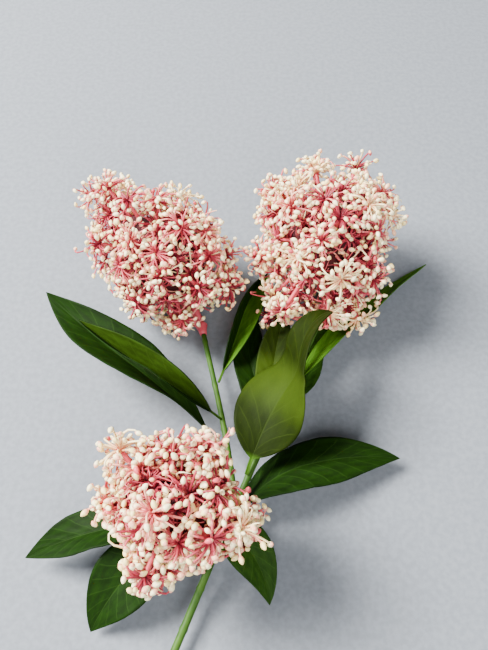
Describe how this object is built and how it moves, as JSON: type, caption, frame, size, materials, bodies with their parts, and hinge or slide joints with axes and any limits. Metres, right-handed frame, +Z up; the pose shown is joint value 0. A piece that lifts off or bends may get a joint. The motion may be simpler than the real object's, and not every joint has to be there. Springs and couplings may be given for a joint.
{
  "type": "artificial flower spray",
  "caption": "Cut artificial flower spray lying down: a wired stem that forks to round heads of pink filaments with ivory buds, with long green cloth leaves.",
  "frame": {"origin": "on the floor, under the middle of the lying spray's box", "axes": "+Z up as the spray lies, +Y from the stem's cut end towards the two far heads, +X across towards the right head"},
  "size_m": [0.2816, 0.4394, 0.1143],
  "materials": {
    "stem": "moulded green plastic over wire, brown near the cut end",
    "leaf": "printed cloth, dark green above and pale olive below, with pressed veins",
    "bloom": "soft matte filaments, deep pink at the root and ivory at the bud"
  },
  "bodies": {
    "root": {"stem_main": "stem", "branch_left": "stem", "branch_front": "stem", "bloom_left": "bloom", "bloom_right": "bloom", "bloom_front": "bloom", "leaf_left_long": "leaf", "leaf_left_folded": "leaf", "leaf_left_upright": "leaf", "leaf_back": "leaf", "leaf_front_broad": "leaf", "leaf_middle": "leaf", "leaf_right_high": "leaf", "leaf_right_under": "leaf", "leaf_right_low": "leaf", "leaf_low_left": "leaf", "leaf_low_foot": "leaf", "leaf_low_right": "leaf"}
  },
  "joints": []
}
